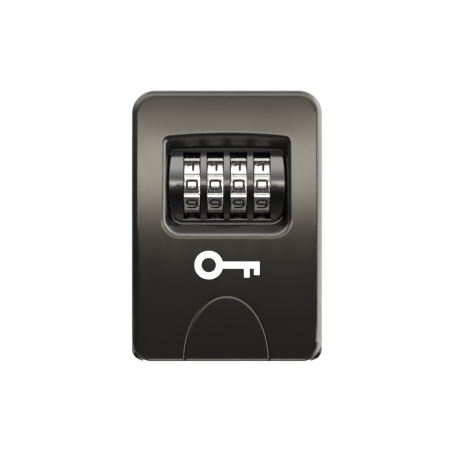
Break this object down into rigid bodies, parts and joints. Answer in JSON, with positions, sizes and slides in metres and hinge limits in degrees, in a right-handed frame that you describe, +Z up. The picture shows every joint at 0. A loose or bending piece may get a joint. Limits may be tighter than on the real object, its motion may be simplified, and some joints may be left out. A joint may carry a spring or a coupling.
{
  "type": "key lock box",
  "caption": "Wall-mounted combination key safe: shallow die-cast box with a drop-down door, number dials behind an arched window and an arch-shaped thumb release at the foot.",
  "frame": {"origin": "centre of the flat back face, on the wall plane", "axes": "+Z up along the box's height, +Y into the wall, +X to the right seen from the front; the door faces -Y"},
  "size_m": [0.084, 0.04, 0.12],
  "materials": {
    "gunmetal_paint": "satin gunmetal lacquer over die casting",
    "bezel_paint": "satin gunmetal lacquer over die casting",
    "zinc_casting": "bare zinc casting, matt",
    "black_plastic": "fine texture",
    "zinc_plated_steel": "bright zinc plating",
    "spring_steel": "drawn spring wire",
    "fastener_steel": "zinc plated",
    "dial_chrome": "satin chrome, black-filled numerals",
    "hub_brass": "turned"
  },
  "bodies": {
    "root": {"housing_base": "gunmetal_paint", "hinge_pins": "zinc_plated_steel", "latch_keeper": "zinc_plated_steel", "keeper_rivets": "fastener_steel", "key_hook": "zinc_plated_steel", "hook_rivets": "fastener_steel"},
    "door": {"door_shell": "gunmetal_paint", "dial_bezel": "bezel_paint", "bezel_screws": "fastener_steel", "lock_chassis": "zinc_casting", "mechanism_cover": "black_plastic", "cover_screws": "fastener_steel", "guide_screws": "fastener_steel", "detent_leaves": "spring_steel", "detent_rivets": "fastener_steel", "inner_tray": "black_plastic", "tray_screws": "fastener_steel", "hinge_bushes": "hub_brass", "return_springs": "spring_steel"},
    "release": {"release_plate": "gunmetal_paint", "latch_slide": "zinc_plated_steel", "release_screws": "fastener_steel"},
    "reset_carriage": {"dial_shaft": "zinc_plated_steel", "reset_lever": "zinc_casting", "shaft_clip": "spring_steel"},
    "dial_1_wheel": {"dial_1": "dial_chrome"},
    "code_hub_1_body": {"code_hub_1": "hub_brass"},
    "dial_2_wheel": {"dial_2": "dial_chrome"},
    "code_hub_2_body": {"code_hub_2": "hub_brass"},
    "dial_3_wheel": {"dial_3": "dial_chrome"},
    "code_hub_3_body": {"code_hub_3": "hub_brass"},
    "dial_4_wheel": {"dial_4": "dial_chrome"},
    "code_hub_4_body": {"code_hub_4": "hub_brass"}
  },
  "joints": [
    {"name": "door_hinge", "type": "hinge", "parent": "root", "child": "door", "pos_m": [0, -0.031, -0.056], "axis": [1, 0, 0], "range_deg": [0, 100]},
    {"name": "release_slide", "type": "slide", "parent": "door", "child": "release", "axis": [0, 0, -1], "range_m": [0, 0.0045], "stiffness_N_per_m": 500, "springref_m": -0.004, "deforming": ["return_springs"]},
    {"name": "reset_slide", "type": "slide", "parent": "door", "child": "reset_carriage", "axis": [1, 0, 0], "range_m": [0, 0.0018]},
    {"name": "dial_1_spin", "type": "hinge", "parent": "door", "child": "dial_1_wheel", "pos_m": [-0.01545, -0.025, 0.018], "axis": [1, 0, 0], "continuous": true},
    {"name": "dial_2_spin", "type": "hinge", "parent": "door", "child": "dial_2_wheel", "pos_m": [-0.00515, -0.025, 0.018], "axis": [1, 0, 0], "continuous": true},
    {"name": "dial_3_spin", "type": "hinge", "parent": "door", "child": "dial_3_wheel", "pos_m": [0.00515, -0.025, 0.018], "axis": [1, 0, 0], "continuous": true},
    {"name": "dial_4_spin", "type": "hinge", "parent": "door", "child": "dial_4_wheel", "pos_m": [0.01545, -0.025, 0.018], "axis": [1, 0, 0], "continuous": true},
    {"name": "code_hub_1_spin", "type": "hinge", "parent": "reset_carriage", "child": "code_hub_1_body", "pos_m": [-0.01545, -0.025, 0.018], "axis": [1, 0, 0], "continuous": true},
    {"name": "code_hub_2_spin", "type": "hinge", "parent": "reset_carriage", "child": "code_hub_2_body", "pos_m": [-0.00515, -0.025, 0.018], "axis": [1, 0, 0], "continuous": true},
    {"name": "code_hub_3_spin", "type": "hinge", "parent": "reset_carriage", "child": "code_hub_3_body", "pos_m": [0.00515, -0.025, 0.018], "axis": [1, 0, 0], "continuous": true},
    {"name": "code_hub_4_spin", "type": "hinge", "parent": "reset_carriage", "child": "code_hub_4_body", "pos_m": [0.01545, -0.025, 0.018], "axis": [1, 0, 0], "continuous": true}
  ],
  "couplings": [
    {"joint": "code_hub_1_spin", "follows": "dial_1_spin", "ratio": 1},
    {"joint": "code_hub_2_spin", "follows": "dial_2_spin", "ratio": 1},
    {"joint": "code_hub_3_spin", "follows": "dial_3_spin", "ratio": 1},
    {"joint": "code_hub_4_spin", "follows": "dial_4_spin", "ratio": 1}
  ]
}
